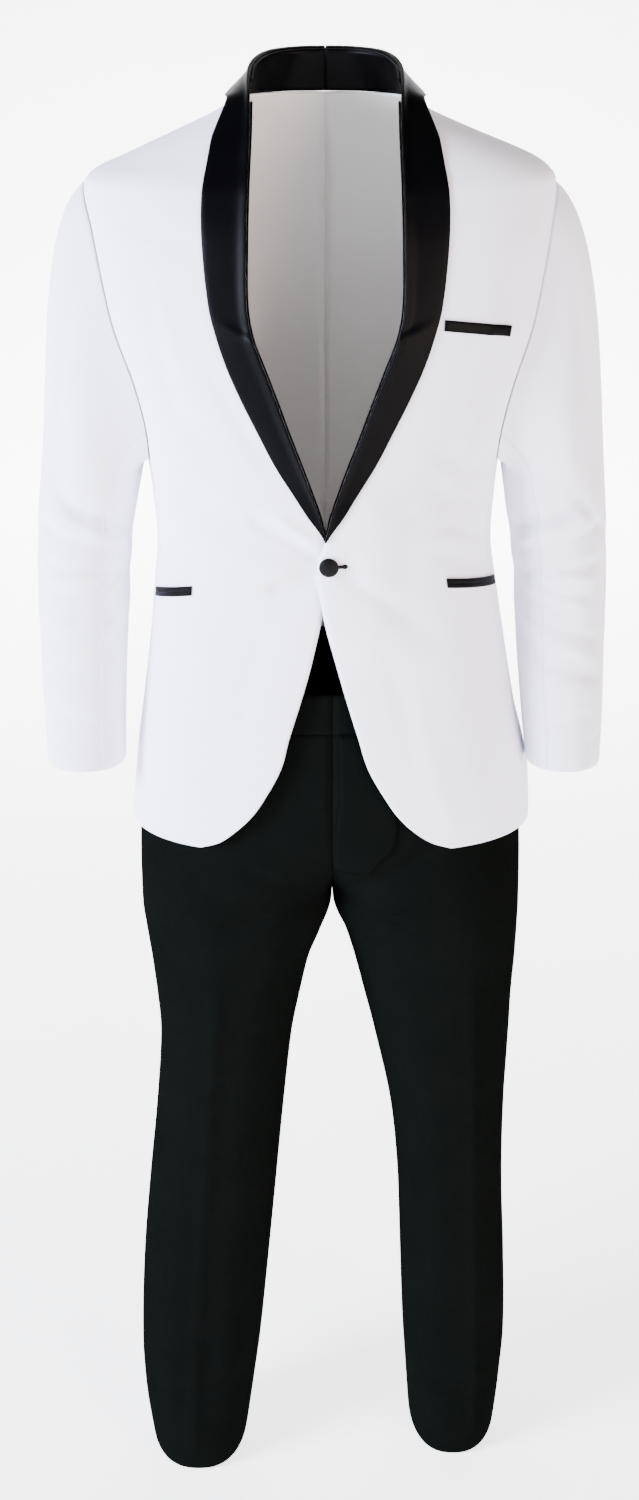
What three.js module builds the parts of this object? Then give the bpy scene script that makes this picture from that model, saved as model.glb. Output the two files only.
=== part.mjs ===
// A tuxedo in its worn, hollow form: a white one-button dinner jacket with a black satin shawl
// collar, over black trousers. Millimetres, +Z up, the front faces -Y and +X is the wearer's left.
// The origin is the middle of the neck line, where the wearer's shoulders hold the jacket.
import * as THREE from 'three';

// Driving dimensions. Heights in the tables are above the lowest trouser hem.
const NECK_HEIGHT = 1450;
const CLOTH = 2.0;
const SATIN = 1.6;
const SEAM_GAP = 0.3;
const LAY_GAP = 0.85;
const SQUARE = 0.82;
const SIDE_SEAM_FRONT = 74;
const SIDE_SEAM_BACK = 113;
const HEM_HEIGHT = 781;
const ARMPIT_HEIGHT = 1168;
const NECK_TOP = 1499;
const BREAK_HEIGHT = 1118;
const BUTTON = { x: 3, height: 1086, radius: 8.6, thick: 5.5, gap: 0.1 };
const LAP = { lift: 6.2, full: 10, none: 26, low: 930, high: 1175, fade: 52 };
const FACING = { width: 14, thick: 1.0, gap: 1.7, low: 850, high: 1110 };
const BREAST_WELT = { from: 108.7, to: 171.7, heightFrom: 1304.5, heightTo: 1297, tall: 9.5 };
const HIP_JETS = [
  { name: 'hip_jet_right', from: -88, to: -47.5, heightFrom: 1022, heightTo: 1036.5, tall: 9.5 },
  { name: 'hip_jet_left', from: 39.5, to: 88, heightFrom: 1051.5, heightTo: 1034, tall: 9.5 },
];
const FLY = { from: -99, to: -84, low: 752, thick: 1.2 };
const SLEEVE_TOP = { height: 1150, reach: 0.62, out: 0.8, down: 0.6, gap: 1.3 };
const TROUSER_CENTRE = 8;
const WAISTBAND = { low: 906, high: 947 };
const CROTCH_HEIGHT = 700;
const CROTCH_START = 850;
const HEM_DIP = 34;

// Jacket body: half widths and depths of level sections, before folds.
const BODY = [
  { height: 770, right: 203, left: 216, front: 126, back: 130 },
  { height: 835, right: 197, left: 212, front: 127, back: 130 },
  { height: 869, right: 193, left: 205, front: 126, back: 127 },
  { height: 903, right: 188, left: 196, front: 125, back: 121 },
  { height: 968, right: 179, left: 184, front: 122, back: 108 },
  { height: 1033, right: 172, left: 173, front: 121, back: 98 },
  { height: 1080, right: 168, left: 166, front: 122, back: 96 },
  { height: 1131, right: 171, left: 168, front: 124, back: 100 },
  { height: 1168, right: 176, left: 172, front: 124, back: 105 },
  { height: 1200, right: 184, left: 181, front: 123, back: 109 },
  { height: 1244, right: 197, left: 194, front: 121, back: 114 },
  { height: 1300, right: 213, left: 208, front: 117, back: 117 },
  { height: 1378, right: 224, left: 217, front: 102, back: 117 },
  { height: 1425, right: 227, left: 217, front: 86, back: 109 },
  { height: 1436, right: 217, left: 213, front: 80, back: 106 },
  { height: 1448, right: 190, left: 196, front: 73, back: 102 },
  { height: 1470, right: 141, left: 142, front: 62, back: 92 },
  { height: 1487, right: 104, left: 102, front: 53, back: 84 },
  { height: 1502, right: 80, left: 76, front: 44, back: 76 },
];

// Armhole: angle round the body of the front and back edges at each height.
const ARMHOLE = [
  { height: 1168, front: 74, back: 113 },
  { height: 1200, front: 67, back: 118 },
  { height: 1244, front: 65, back: 118 },
  { height: 1300, front: 69, back: 114 },
  { height: 1360, front: 73, back: 108 },
  { height: 1400, front: 78, back: 101 },
  { height: 1425, front: 89.9, back: 90.1 },
];

// Roll line and outer edge of the shawl, and the front edges, as distances from the middle.
const SHAWL_LINE = [
  { height: 1118, roll: 2, outer: 6 },
  { height: 1133, roll: 5.5, outer: 17 },
  { height: 1149, roll: 11, outer: 27 },
  { height: 1179, roll: 22, outer: 46 },
  { height: 1210, roll: 34, outer: 62 },
  { height: 1240, roll: 45, outer: 77 },
  { height: 1269, roll: 56, outer: 90 },
  { height: 1298, roll: 67, outer: 100 },
  { height: 1326, roll: 72, outer: 107 },
  { height: 1382, roll: 72, outer: 112.5 },
  { height: 1422, roll: 71, outer: 112.5 },
  { height: 1448, roll: 70, outer: 108 },
  { height: 1474, roll: 69, outer: 102 },
  { height: 1500, roll: 69, outer: 90 },
];
// The shawl's turn round the neck, from the wearer's left shoulder to the middle of the back:
// the angle of its foot on the neck seam, its fold at the top and its outer edge on the shoulders.
const COLLAR_TURN = [
  { turn: 76, foldX: 69, foldY: -33, foldZ: 1504, outX: 91, outY: -20, outZ: 1500 },
  { turn: 84, foldX: 69, foldY: -10, foldZ: 1524, outX: 93, outY: 10, outZ: 1503 },
  { turn: 103, foldX: 67, foldY: 18, foldZ: 1536, outX: 86, outY: 42, outZ: 1506 },
  { turn: 128, foldX: 55, foldY: 46, foldZ: 1539, outX: 64, outY: 72, outZ: 1502 },
  { turn: 154, foldX: 30, foldY: 65, foldZ: 1537, outX: 34, outY: 88, outZ: 1498 },
  { turn: 179.6, foldX: 0.5, foldY: 71, foldZ: 1536, outX: 0.5, outY: 93, outZ: 1497 },
];
const COLLAR_STAND = { inset: 0.6, drop: 0.5, foot: 0.6 };
const FRONT_EDGE = [
  { height: 781, over: 128, under: 126 },
  { height: 789, over: 109, under: 107 },
  { height: 803, over: 90, under: 90 },
  { height: 820, over: 74, under: 74 },
  { height: 838, over: 62, under: 62 },
  { height: 873, over: 43, under: 44 },
  { height: 907, over: 30, under: 33 },
  { height: 940, over: 20, under: 23 },
  { height: 970, over: 8, under: 10 },
  { height: 995, over: -3, under: 0 },
  { height: 1020, over: -7, under: -8 },
  { height: 1050, over: -8, under: -12 },
  { height: 1086, over: -6, under: -12 },
  { height: 1108, over: -1, under: -7 },
  { height: 1118, over: 2, under: 2 },
];

// Sleeves below the armhole: middle, half width, place front to back and half depth.
const SLEEVE_RIGHT = [
  { height: 1150, middle: -231, half: 50.5, place: 4, deep: 64 },
  { height: 1098, middle: -239, half: 48.5, place: 2, deep: 60 },
  { height: 1033, middle: -243.5, half: 47, place: -2, deep: 55 },
  { height: 968, middle: -245.5, half: 44, place: -12, deep: 51 },
  { height: 903, middle: -246, half: 41.5, place: -25, deep: 47 },
  { height: 852, middle: -245.5, half: 40, place: -36, deep: 44 },
];
const SLEEVE_LEFT = [
  { height: 1150, middle: 226, half: 51, place: 4, deep: 64 },
  { height: 1098, middle: 232, half: 49.5, place: 2, deep: 60 },
  { height: 1033, middle: 237.5, half: 47, place: -2, deep: 55 },
  { height: 968, middle: 240, half: 44.5, place: -12, deep: 51 },
  { height: 903, middle: 243, half: 41.5, place: -25, deep: 47 },
  { height: 852, middle: 245, half: 38, place: -36, deep: 44 },
];
const SLEEVE_FRONT_SEAM = 118;
const SLEEVE_BACK_SEAM = 245;

// Trousers: outer and inner edge of each side, and how far its front and back lie from the middle.
const TROUSER_RIGHT = [
  { height: 10, outer: -203, inner: -90, front: -98, back: 36 },
  { height: 65, outer: -210, inner: -82, front: -96, back: 40 },
  { height: 122, outer: -212, inner: -74, front: -92, back: 46 },
  { height: 227, outer: -207.5, inner: -63.5, front: -88, back: 58 },
  { height: 330, outer: -198, inner: -54, front: -88, back: 66 },
  { height: 430, outer: -187, inner: -45, front: -92, back: 66 },
  { height: 526, outer: -179.5, inner: -35, front: -98, back: 66 },
  { height: 574, outer: -182, inner: -26, front: -101, back: 70 },
  { height: 622, outer: -187, inner: -15, front: -104, back: 78 },
  { height: 669, outer: -193, inner: 3, front: -107, back: 88 },
  { height: 700, outer: -195, inner: 8, front: -108, back: 94 },
  { height: 780, outer: -194, inner: 8, front: -112, back: 112 },
  { height: 850, outer: -186, inner: 8, front: -114, back: 114 },
  { height: 925, outer: -172, inner: 8, front: -112, back: 102 },
  { height: 975, outer: -165, inner: 8, front: -110, back: 92 },
];
const TROUSER_LEFT = [
  { height: 10, outer: 203, inner: 100, front: -72, back: 58 },
  { height: 65, outer: 208, inner: 96, front: -72, back: 60 },
  { height: 122, outer: 211, inner: 92, front: -72, back: 64 },
  { height: 227, outer: 207.5, inner: 87.5, front: -74, back: 68 },
  { height: 330, outer: 202, inner: 83, front: -78, back: 72 },
  { height: 430, outer: 200.5, inner: 73, front: -84, back: 72 },
  { height: 526, outer: 202.5, inner: 53.5, front: -92, back: 72 },
  { height: 574, outer: 203.5, inner: 42, front: -96, back: 75 },
  { height: 622, outer: 206, inner: 30, front: -101, back: 82 },
  { height: 669, outer: 207, inner: 15, front: -106, back: 90 },
  { height: 700, outer: 207.5, inner: 8, front: -108, back: 94 },
  { height: 780, outer: 205, inner: 8, front: -112, back: 112 },
  { height: 850, outer: 195, inner: 8, front: -114, back: 114 },
  { height: 925, outer: 178, inner: 8, front: -112, back: 102 },
  { height: 975, outer: 167, inner: 8, front: -110, back: 92 },
];

// Largest folds: a soft trough (minus) or ridge (plus) from one point to another, across its width.
// On the body and trousers the points are a place left to right and a height; on the back the same.
const FRONT_FOLDS = [
  { x0: -18, h0: 1086, x1: -120, h1: 1130, depth: -3.0, width: 14 },
  { x0: -20, h0: 1070, x1: -105, h1: 1010, depth: -2.2, width: 13 },
  { x0: 24, h0: 1084, x1: 120, h1: 1120, depth: -2.4, width: 14 },
  { x0: 26, h0: 1070, x1: 100, h1: 1010, depth: -2.0, width: 14 },
  { x0: 110, h0: 1150, x1: 166, h1: 1085, depth: -4.5, width: 13 },
  { x0: 120, h0: 1180, x1: 170, h1: 1120, depth: -3.0, width: 12 },
  { x0: -120, h0: 1150, x1: -168, h1: 1090, depth: -3.0, width: 13 },
  { x0: -150, h0: 1260, x1: -110, h1: 1180, depth: -2.4, width: 16 },
  { x0: 150, h0: 1260, x1: 120, h1: 1190, depth: -2.4, width: 16 },
  { x0: -120, h0: 980, x1: -150, h1: 820, depth: 3.0, width: 24 },
  { x0: 130, h0: 980, x1: 165, h1: 820, depth: 3.0, width: 24 },
];
const BACK_FOLDS = [
  { x0: -150, h0: 1190, x1: -95, h1: 1110, depth: -3.2, width: 15 },
  { x0: 150, h0: 1195, x1: 90, h1: 1120, depth: -3.0, width: 16 },
  { x0: -130, h0: 1060, x1: -40, h1: 1090, depth: -2.6, width: 14 },
  { x0: 125, h0: 1050, x1: 45, h1: 1085, depth: -2.4, width: 15 },
  { x0: -70, h0: 990, x1: -90, h1: 800, depth: 3.4, width: 28 },
  { x0: 75, h0: 990, x1: 100, h1: 800, depth: 3.2, width: 28 },
];
// On a sleeve the points are an angle round it and a height.
const SLEEVE_FOLDS = [
  { x0: 95, h0: 1120, x1: 170, h1: 1085, depth: -4.0, width: 13 },
  { x0: 60, h0: 1085, x1: 160, h1: 1050, depth: -3.2, width: 12 },
  { x0: 90, h0: 1010, x1: 175, h1: 1035, depth: -3.4, width: 12 },
  { x0: 70, h0: 960, x1: 160, h1: 985, depth: -2.6, width: 12 },
  { x0: 30, h0: 1190, x1: 80, h1: 1110, depth: -2.2, width: 16 },
  { x0: 210, h0: 1060, x1: 300, h1: 1100, depth: -2.6, width: 16 },
  { x0: 60, h0: 900, x1: 130, h1: 880, depth: -2.0, width: 13 },
];
const TROUSER_FOLDS = [
  { x0: -14, h0: 735, x1: -90, h1: 690, depth: -4.0, width: 15 },
  { x0: 36, h0: 726, x1: 100, h1: 768, depth: -4.0, width: 15 },
  { x0: -20, h0: 690, x1: -80, h1: 630, depth: -2.6, width: 15 },
  { x0: 24, h0: 700, x1: 90, h1: 640, depth: -2.6, width: 16 },
  { x0: -190, h0: 440, x1: -120, h1: 470, depth: -3.0, width: 18 },
  { x0: 196, h0: 450, x1: 130, h1: 480, depth: -3.0, width: 18 },
  { x0: -190, h0: 380, x1: -130, h1: 350, depth: -2.6, width: 18 },
  { x0: -114, h0: 600, x1: -153, h1: 40, depth: 3.2, width: 8 },
  { x0: 158, h0: 600, x1: 178, h1: 40, depth: 3.2, width: 8 },
  { x0: -205, h0: 82, x1: -110, h1: 96, depth: -5.0, width: 15 },
  { x0: 205, h0: 72, x1: 125, h1: 90, depth: -5.0, width: 15 },
  { x0: -200, h0: 142, x1: -140, h1: 128, depth: -3.0, width: 16 },
  { x0: 204, h0: 135, x1: 150, h1: 122, depth: -3.0, width: 16 },
];
const TROUSER_BACK_FOLDS = [
  { x0: -100, h0: 640, x1: -148, h1: 40, depth: 3.2, width: 8 },
  { x0: 112, h0: 640, x1: 152, h1: 40, depth: 3.2, width: 8 },
  { x0: -20, h0: 720, x1: -120, h1: 680, depth: -4.0, width: 16 },
  { x0: 34, h0: 722, x1: 130, h1: 684, depth: -4.0, width: 16 },
  { x0: -60, h0: 460, x1: -170, h1: 430, depth: -4.0, width: 18 },
  { x0: 82, h0: 455, x1: 186, h1: 430, depth: -4.0, width: 18 },
  { x0: -70, h0: 400, x1: -150, h1: 410, depth: -2.8, width: 16 },
  { x0: -100, h0: 110, x1: -190, h1: 90, depth: -3.4, width: 16 },
  { x0: 110, h0: 104, x1: 190, h1: 92, depth: -3.4, width: 16 },
];

const WHITE = new THREE.MeshStandardMaterial({ color: 0xf2f2f4, roughness: 0.82, metalness: 0 });
const BLACK = new THREE.MeshStandardMaterial({ color: 0x121418, roughness: 0.8, metalness: 0 });
const SATIN_BLACK = new THREE.MeshStandardMaterial({ color: 0x0b0c0e, roughness: 0.38, metalness: 0 });

const group = new THREE.Group();
group.position.z = -NECK_HEIGHT;

// The value of a table's column at a height, on a smooth curve through its rows.
function column(table, name, height) {
  const last = table.length - 1;
  const up = table[last].height > table[0].height ? 1 : -1;
  let k = 0;
  while (k < last - 1 && (height - table[k + 1].height) * up > 0) k += 1;
  const slope = (i) => {
    const a = table[Math.max(i - 1, 0)];
    const b = table[Math.min(i + 1, last)];
    return (b[name] - a[name]) / (b.height - a.height);
  };
  const [a, b] = [table[k], table[k + 1]];
  const span = b.height - a.height;
  const t = THREE.MathUtils.clamp((height - a.height) / span, 0, 1);
  const ease = t * t * (3 - 2 * t);
  const tangents = slope(k) * t * (1 - t) ** 2 - slope(k + 1) * t * t * (1 - t);
  return a[name] + (b[name] - a[name]) * ease + tangents * span;
}

const smooth = (t) => THREE.MathUtils.smoothstep(t, 0, 1);
const signedPower = (value, power) => Math.sign(value) * Math.abs(value) ** power;

// How far the folds of a table move the cloth out at a place: each is a bell across its line, fading at its ends.
function foldDepth(folds, x, height) {
  let depth = 0;
  for (const f of folds) {
    const [dx, dh] = [f.x1 - f.x0, f.h1 - f.h0];
    const length = Math.hypot(dx, dh);
    const along = ((x - f.x0) * dx + (height - f.h0) * dh) / length;
    const across = ((x - f.x0) * dh - (height - f.h0) * dx) / length;
    const past = Math.max(0, -along, along - length);
    depth += f.depth * Math.exp(-((across / f.width) ** 2)) * Math.exp(-((past / (f.width * 1.4)) ** 2));
  }
  return depth;
}

// Body surface: a rounded level section; angle 0 is the middle of the front, 90 the wearer's left side.
function bodyPoint(angle, height) {
  const turn = THREE.MathUtils.degToRad(angle);
  const wide = Math.sin(turn) < 0 ? column(BODY, 'right', height) : column(BODY, 'left', height);
  const front = Math.cos(turn) > 0;
  const deep = front ? column(BODY, 'front', height) : column(BODY, 'back', height);
  const x = wide * signedPower(Math.sin(turn), SQUARE);
  const fade = Math.min(1, Math.abs(Math.cos(turn)) * 3);
  const fold = foldDepth(front ? FRONT_FOLDS : BACK_FOLDS, x, height) * fade;
  return new THREE.Vector3(x, -(deep + fold) * signedPower(Math.cos(turn), SQUARE), height);
}

function bodyAngle(x, height) {
  const wide = x < 0 ? column(BODY, 'right', height) : column(BODY, 'left', height);
  return THREE.MathUtils.radToDeg(Math.asin(signedPower(THREE.MathUtils.clamp(x / wide, -1, 1), 1 / SQUARE)));
}

// Outward normal of a surface function at a place, from its neighbours on both sides.
function normalOf(surface, a, b, stepA, stepB) {
  const alongA = surface(a + stepA, b).sub(surface(a - stepA, b));
  const alongB = surface(a, b + stepB).sub(surface(a, b - stepB));
  return alongA.cross(alongB).normalize();
}

// A closed wall between two grids of points with the same rows and columns.
function wall(name, outer, inner, material) {
  const rows = outer.length;
  const cols = outer[0].length;
  const positions = [];
  for (const grid of [outer, inner]) for (const row of grid) for (const p of row) positions.push(p.x, p.y, p.z);
  const at = (side, i, j) => (side * rows + i) * cols + j;
  const index = [];
  const quad = (a, b, c, d) => index.push(a, b, c, a, c, d);
  for (let i = 0; i < rows - 1; i += 1) {
    for (let j = 0; j < cols - 1; j += 1) {
      quad(at(0, i, j), at(0, i, j + 1), at(0, i + 1, j + 1), at(0, i + 1, j));
      quad(at(1, i, j), at(1, i + 1, j), at(1, i + 1, j + 1), at(1, i, j + 1));
    }
    quad(at(0, i, 0), at(0, i + 1, 0), at(1, i + 1, 0), at(1, i, 0));
    quad(at(0, i + 1, cols - 1), at(0, i, cols - 1), at(1, i, cols - 1), at(1, i + 1, cols - 1));
  }
  for (let j = 0; j < cols - 1; j += 1) {
    quad(at(0, 0, j + 1), at(0, 0, j), at(1, 0, j), at(1, 0, j + 1));
    quad(at(0, rows - 1, j), at(0, rows - 1, j + 1), at(1, rows - 1, j + 1), at(1, rows - 1, j));
  }
  const geometry = new THREE.BufferGeometry();
  geometry.setAttribute('position', new THREE.Float32BufferAttribute(positions, 3));
  geometry.setIndex(index);
  geometry.computeVertexNormals();
  const mesh = new THREE.Mesh(geometry, material);
  mesh.name = name;
  group.add(mesh);
}

// A panel of a surface function: each row runs from one angle to another at its height.
function panel(name, surface, heights, edges, cols, material, { out = 0, thick = CLOTH, lift = () => 0 } = {}) {
  const [outer, inner] = [[], []];
  for (const height of heights) {
    const [from, to] = edges(height);
    const outerRow = [];
    const innerRow = [];
    for (let j = 0; j <= cols; j += 1) {
      const angle = from + ((to - from) * j) / cols;
      const normal = normalOf(surface, angle, height, 1.2, 3);
      const point = surface(angle, height);
      const raised = out + lift(angle, height);
      outerRow.push(point.clone().addScaledVector(normal, raised + (out > 0 ? thick : 0)));
      innerRow.push(point.addScaledVector(normal, raised - (out > 0 ? 0 : thick)));
    }
    outer.push(outerRow);
    inner.push(innerRow);
  }
  wall(name, outer, inner, material);
}

const steps = (low, high, count) => Array.from({ length: count + 1 }, (_, i) => low + ((high - low) * i) / count);
const seamAngle = (radius) => THREE.MathUtils.radToDeg(SEAM_GAP / 2 / radius);
const BODY_GAP = seamAngle(120);

// Heights of the rows: closer together at the round hem corners and over the shoulder.
const LOW_ROWS = [HEM_HEIGHT, 789, 803, 820, 838, 873, ...steps(905, ARMPIT_HEIGHT, 9)];
const HIGH_ROWS = [...steps(1196, 1400, 6), 1425, 1436, 1448, 1470, 1487, NECK_TOP];
const ROWS = [...LOW_ROWS, ...HIGH_ROWS];

function outerEdge(height, side) {
  if (height <= ARMPIT_HEIGHT) return side === 'front' ? SIDE_SEAM_FRONT : SIDE_SEAM_BACK;
  if (height >= 1425) return 90;
  return column(ARMHOLE, side, height);
}

function frontLine(height, lap) {
  if (height <= BREAK_HEIGHT) return column(FRONT_EDGE, lap, height);
  return column(SHAWL_LINE, 'roll', height);
}

// The left front laps over the right one round the button.
const lapLift = (angle, height) => {
  const near = smooth((LAP.none - Math.abs(angle)) / (LAP.none - LAP.full));
  return LAP.lift * near * smooth((height - LAP.low) / LAP.fade) * smooth((LAP.high - height) / LAP.fade);
};

panel('jacket_front_left', bodyPoint, ROWS, (height) => {
  const edge = frontLine(height, 'over');
  return [bodyAngle(edge, height), outerEdge(height, 'front') - BODY_GAP];
}, 10, WHITE, { lift: lapLift });
panel('jacket_front_right', bodyPoint, ROWS, (height) => {
  const edge = -frontLine(height, 'under');
  return [-outerEdge(height, 'front') + BODY_GAP, bodyAngle(edge, height)];
}, 9, WHITE);
panel('jacket_side_left', bodyPoint, LOW_ROWS, () => [SIDE_SEAM_FRONT + BODY_GAP, SIDE_SEAM_BACK - BODY_GAP], 3, WHITE);
panel('jacket_side_right', bodyPoint, LOW_ROWS, () => [-SIDE_SEAM_BACK + BODY_GAP, -SIDE_SEAM_FRONT - BODY_GAP], 3, WHITE);
panel('jacket_back_left', bodyPoint, ROWS, (height) => [outerEdge(height, 'back') + BODY_GAP, 180 - BODY_GAP], 7, WHITE);
panel('jacket_back_right', bodyPoint, ROWS, (height) => [180 + BODY_GAP, 360 - outerEdge(height, 'back') - BODY_GAP], 7, WHITE);

// A point of the body moved out along its normal.
function onBody(angle, height, out) {
  return bodyPoint(angle, height).addScaledVector(normalOf(bodyPoint, angle, height, 1.2, 3), out);
}

// A grid of points thickened along its own normals, taken from neighbouring points.
function sheet(name, grid, thick, material) {
  const top = grid.map((row, i) => row.map((point, j) => {
    const below = grid[Math.max(i - 1, 0)][j];
    const above = grid[Math.min(i + 1, grid.length - 1)][j];
    const before = row[Math.max(j - 1, 0)];
    const after = row[Math.min(j + 1, row.length - 1)];
    const normal = after.clone().sub(before).cross(above.clone().sub(below)).normalize();
    return point.clone().addScaledVector(normal, thick);
  }));
  wall(name, top, grid, material);
}

// Shawl collar: up the front from the break to the shoulder, then round the neck to the middle of the back.
const SHAWL_COLS = 3;
const SHAWL_ROWS = [...steps(BREAK_HEIGHT + 1, 1300, 8), 1332, 1366, 1400, 1425, 1436, 1448, 1470];
function shawlRow(side, inner, outer) {
  const row = steps(0, 1, SHAWL_COLS).map((t) => inner.clone().lerp(outer, t));
  return side > 0 ? row : row.reverse();
}
for (const [name, side] of [['shawl_left', 1], ['shawl_right', -1]]) {
  const rows = [];
  for (const height of SHAWL_ROWS) {
    const [from, to] = [column(SHAWL_LINE, 'roll', height), column(SHAWL_LINE, 'outer', height)];
    const row = steps(from, to, SHAWL_COLS).map((x) => {
      const angle = bodyAngle(side * x, height);
      return onBody(angle, height, LAY_GAP + (side > 0 ? lapLift(angle, height) : 0));
    });
    rows.push(side > 0 ? row : row.reverse());
  }
  for (const r of COLLAR_TURN) {
    const fold = new THREE.Vector3(side * r.foldX, r.foldY, r.foldZ);
    rows.push(shawlRow(side, fold, new THREE.Vector3(side * r.outX, r.outY, r.outZ)));
  }
  sheet(name, rows, SATIN, SATIN_BLACK);
}

// Collar stand: the inner wall of the collar, from its fold down to the neck seam.
for (const [name, side] of [['collar_stand_left', 1], ['collar_stand_right', -1]]) {
  const rows = COLLAR_TURN.slice(1).map((r) => {
    const scale = 1 - COLLAR_STAND.inset / Math.hypot(r.foldX, r.foldY);
    const top = new THREE.Vector3(side * r.foldX * scale, r.foldY * scale, r.foldZ - COLLAR_STAND.drop);
    const foot = bodyPoint(side * r.turn, NECK_TOP + COLLAR_STAND.foot);
    return steps(0, 1, 2).map((t) => foot.clone().lerp(top, side > 0 ? t : 1 - t));
  });
  sheet(name, rows, SATIN, SATIN_BLACK);
}

// Facings: satin turned in behind both front edges.
const FACING_ROWS = ROWS.filter((height) => height >= FACING.low && height <= FACING.high);
panel('facing_left', bodyPoint, FACING_ROWS, (height) => {
  const edge = frontLine(height, 'over') + 1;
  return [bodyAngle(edge, height), bodyAngle(edge + FACING.width, height)];
}, 2, SATIN_BLACK, { thick: FACING.thick, lift: (a, h) => lapLift(a, h) - CLOTH - FACING.gap });
panel('facing_right', bodyPoint, FACING_ROWS, (height) => {
  const edge = -frontLine(height, 'under') - 1;
  return [bodyAngle(edge - FACING.width, height), bodyAngle(edge, height)];
}, 2, SATIN_BLACK, { thick: FACING.thick, lift: () => -CLOTH - FACING.gap });

// Pocket strips follow a sloping line on the body.
function pocketStrip(name, from, to, heightFrom, heightTo, tall, cols) {
  const slope = (heightTo - heightFrom) / (to - from);
  const along = (angle, up) => bodyPoint(angle, heightFrom + slope * (angle - from) + up);
  panel(name, along, [0, tall], () => [from, to], cols, SATIN_BLACK, { out: LAY_GAP, thick: SATIN });
}
const welt = BREAST_WELT;
pocketStrip('breast_welt', bodyAngle(welt.from, welt.heightFrom), bodyAngle(welt.to, welt.heightTo),
  welt.heightFrom, welt.heightTo, welt.tall, 8);
for (const jet of HIP_JETS) {
  pocketStrip(jet.name, jet.from, jet.to, jet.heightFrom, jet.heightTo, jet.tall, 14);
}

// Button: a covered dome facing out from the left front.
const buttonAngle = bodyAngle(BUTTON.x, BUTTON.height);
const buttonNormal = normalOf(bodyPoint, buttonAngle, BUTTON.height, 1.2, 3);
const dome = [new THREE.Vector2(0, 0), new THREE.Vector2(BUTTON.radius * 0.8, 0)];
for (const turn of steps(0, 90, 6).map(THREE.MathUtils.degToRad)) {
  const flat = BUTTON.thick - 1.5;
  dome.push(new THREE.Vector2(Math.max(0, BUTTON.radius * Math.cos(turn)), 1.5 + flat * Math.sin(turn)));
}
dome[dome.length - 1].x = 0;
const button = new THREE.Mesh(new THREE.LatheGeometry(dome, 24), SATIN_BLACK);
button.name = 'front_button';
button.quaternion.setFromUnitVectors(new THREE.Vector3(0, 1, 0), buttonNormal);
button.position.copy(onBody(buttonAngle, BUTTON.height, LAP.lift + BUTTON.gap));
group.add(button);

// Sleeve: angle 0 is outside, 90 the front, 180 beside the body. Above its top section the rows
// reach up and in to the armhole on smooth curves.
function armholePoint(side, angle, make) {
  const turn = ((angle % 360) + 360) % 360;
  const bottom = 30;
  const reach = 180 - bottom;
  const top = 1425 - ARMPIT_HEIGHT;
  const rise = (t) => ARMPIT_HEIGHT + (top * (1 + Math.cos(Math.PI * t))) / 2;
  if (turn <= reach) {
    const height = rise(turn / reach);
    return make(side * outerEdge(height + 0.01, 'front'), height);
  }
  if (turn >= 360 - reach) {
    const height = rise((360 - turn) / reach);
    return make(side * outerEdge(height + 0.01, 'back'), height);
  }
  const across = (turn - reach) / (2 * bottom);
  return make(side * THREE.MathUtils.lerp(SIDE_SEAM_FRONT, SIDE_SEAM_BACK, across), ARMPIT_HEIGHT);
}
const SLEEVE_FULL = 1300;
function sleeveSurface(side) {
  const table = side > 0 ? SLEEVE_LEFT : SLEEVE_RIGHT;
  const section = (angle, height) => {
    const turn = THREE.MathUtils.degToRad(angle);
    const fold = foldDepth(SLEEVE_FOLDS, ((angle % 360) + 360) % 360, height);
    const half = column(table, 'half', height) + fold;
    const deep = column(table, 'deep', height) + fold;
    const x = column(table, 'middle', height) + side * half * signedPower(Math.cos(turn), 0.92);
    return new THREE.Vector3(x, column(table, 'place', height) - deep * signedPower(Math.sin(turn), 0.92), height);
  };
  return (sweep, level) => {
    const angle = side > 0 ? -sweep : sweep;
    if (level <= SLEEVE_TOP.height) return section(angle, level);
    const t = (SLEEVE_FULL - level) / (SLEEVE_FULL - SLEEVE_TOP.height);
    const out = new THREE.Vector3(side * SLEEVE_TOP.out, 0, -SLEEVE_TOP.down);
    const start = armholePoint(side, angle, bodyPoint).addScaledVector(out, SLEEVE_TOP.gap);
    const end = section(angle, SLEEVE_TOP.height);
    const length = start.distanceTo(end);
    const down = end.clone().sub(section(angle, SLEEVE_TOP.height + 30)).normalize();
    return start.multiplyScalar(2 * t ** 3 - 3 * t ** 2 + 1)
      .addScaledVector(out, (t ** 3 - 2 * t ** 2 + t) * length * SLEEVE_TOP.reach)
      .addScaledVector(end, 3 * t ** 2 - 2 * t ** 3)
      .addScaledVector(down, (t ** 3 - t ** 2) * length);
  };
}

// A sleeve panel, from one seam to the other, up to its row round the armhole.
function sleevePanel(name, side, from, to, cols) {
  const surface = sleeveSurface(side);
  const [low, high] = side > 0 ? [-to, -from] : [from, to];
  const gap = seamAngle(45);
  const [outer, inner] = [[], []];
  for (const level of SLEEVE_LEVELS) {
    const sweeps = steps(low + gap, high - gap, cols);
    const points = sweeps.map((sweep) => surface(sweep, level));
    outer.push(points);
    inner.push(points.map((point, j) => {
      const normal = normalOf(surface, sweeps[j], Math.min(level, SLEEVE_FULL - 6), 2, 2);
      return point.clone().addScaledVector(normal, -CLOTH);
    }));
  }
  wall(name, outer, inner, WHITE);
}
const SLEEVE_LEVELS = [...steps(852, SLEEVE_TOP.height, 10), 1175, 1204, 1236, 1268, SLEEVE_FULL];
for (const [name, side] of [['left', 1], ['right', -1]]) {
  sleevePanel(`sleeve_top_${name}`, side, SLEEVE_BACK_SEAM - 360, SLEEVE_FRONT_SEAM, 11);
  sleevePanel(`sleeve_under_${name}`, side, SLEEVE_FRONT_SEAM, SLEEVE_BACK_SEAM, 6);
}

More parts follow.
